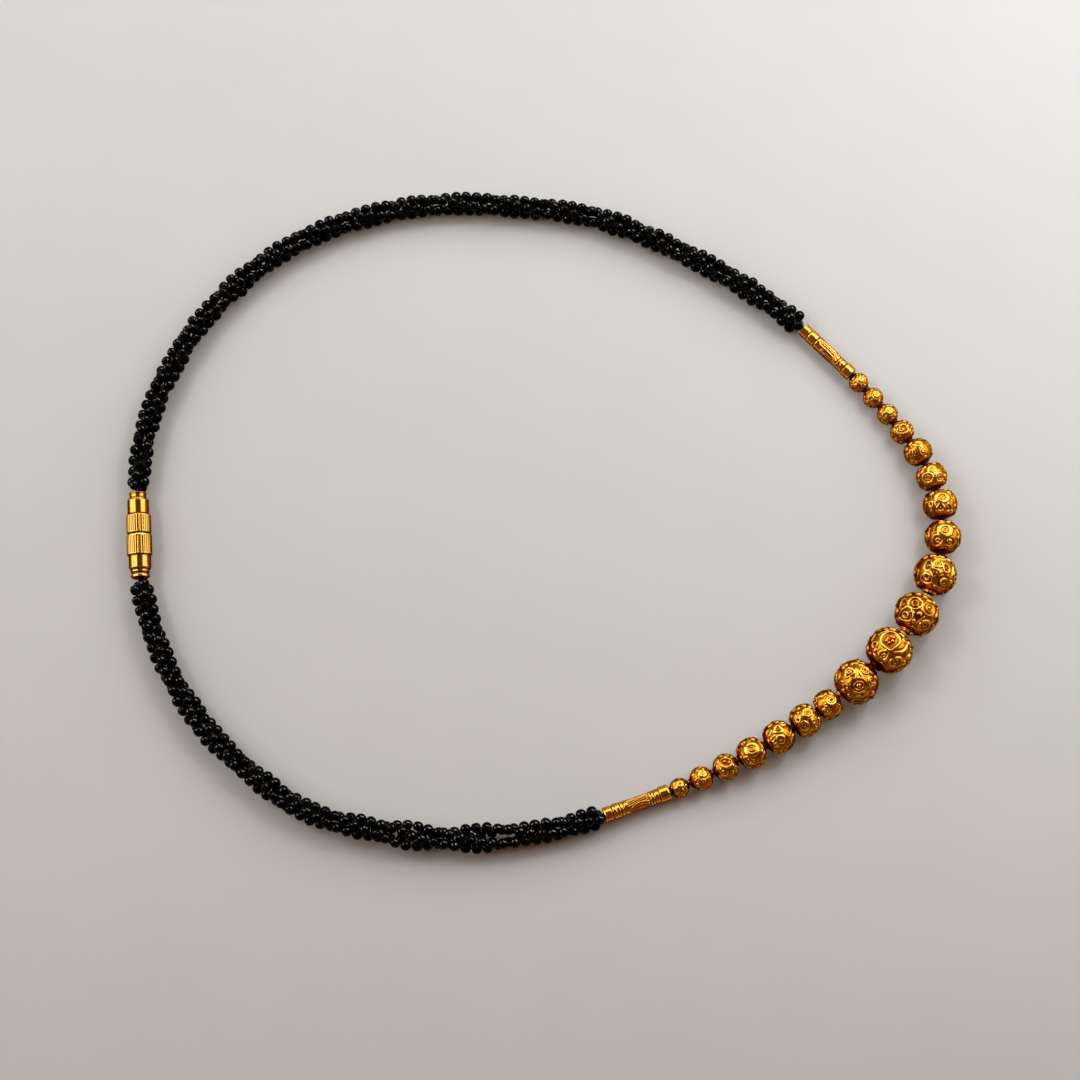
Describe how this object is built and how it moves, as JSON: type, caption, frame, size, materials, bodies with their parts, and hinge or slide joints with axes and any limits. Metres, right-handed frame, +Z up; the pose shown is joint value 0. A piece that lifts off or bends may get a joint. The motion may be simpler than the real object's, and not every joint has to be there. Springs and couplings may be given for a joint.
{
  "type": "mangalsutra necklace",
  "caption": "Closed loop necklace lying flat: twisted ropes of small black beads, a gold screw clasp, engraved gold tubes and graduated round gold beads with raised work.",
  "frame": {"origin": "centre of the loop's bounding box, on the surface that it lies on", "axes": "+X from the clasp towards the gold beads, +Y across the loop towards the longer bead rope, +Z up from the surface"},
  "size_m": [0.1662, 0.1342, 0.0093],
  "materials": {
    "gold_beads": "polished yellow gold with darker recesses",
    "gold_tubes": "polished yellow gold, engraved",
    "gold_clasp": "bright polished yellow gold, ribbed grip bands",
    "black_beads": "glossy opaque black glass",
    "stringing_thread": "dark waxed thread"
  },
  "bodies": {
    "root": {"clasp_socket": "gold_clasp", "clasp_screw": "gold_clasp", "rope_upper": "black_beads", "rope_lower": "black_beads", "tube_upper": "gold_tubes", "tube_lower": "gold_tubes", "bead_01": "gold_beads", "bead_02": "gold_beads", "bead_03": "gold_beads", "bead_04": "gold_beads", "bead_05": "gold_beads", "bead_06": "gold_beads", "bead_07": "gold_beads", "bead_08": "gold_beads", "bead_09": "gold_beads", "bead_10": "gold_beads", "bead_11": "gold_beads", "bead_12": "gold_beads", "bead_13": "gold_beads", "bead_14": "gold_beads", "bead_15": "gold_beads", "bead_16": "gold_beads", "bead_17": "gold_beads", "bead_18": "gold_beads", "bead_19": "gold_beads", "thread": "stringing_thread"}
  },
  "joints": []
}
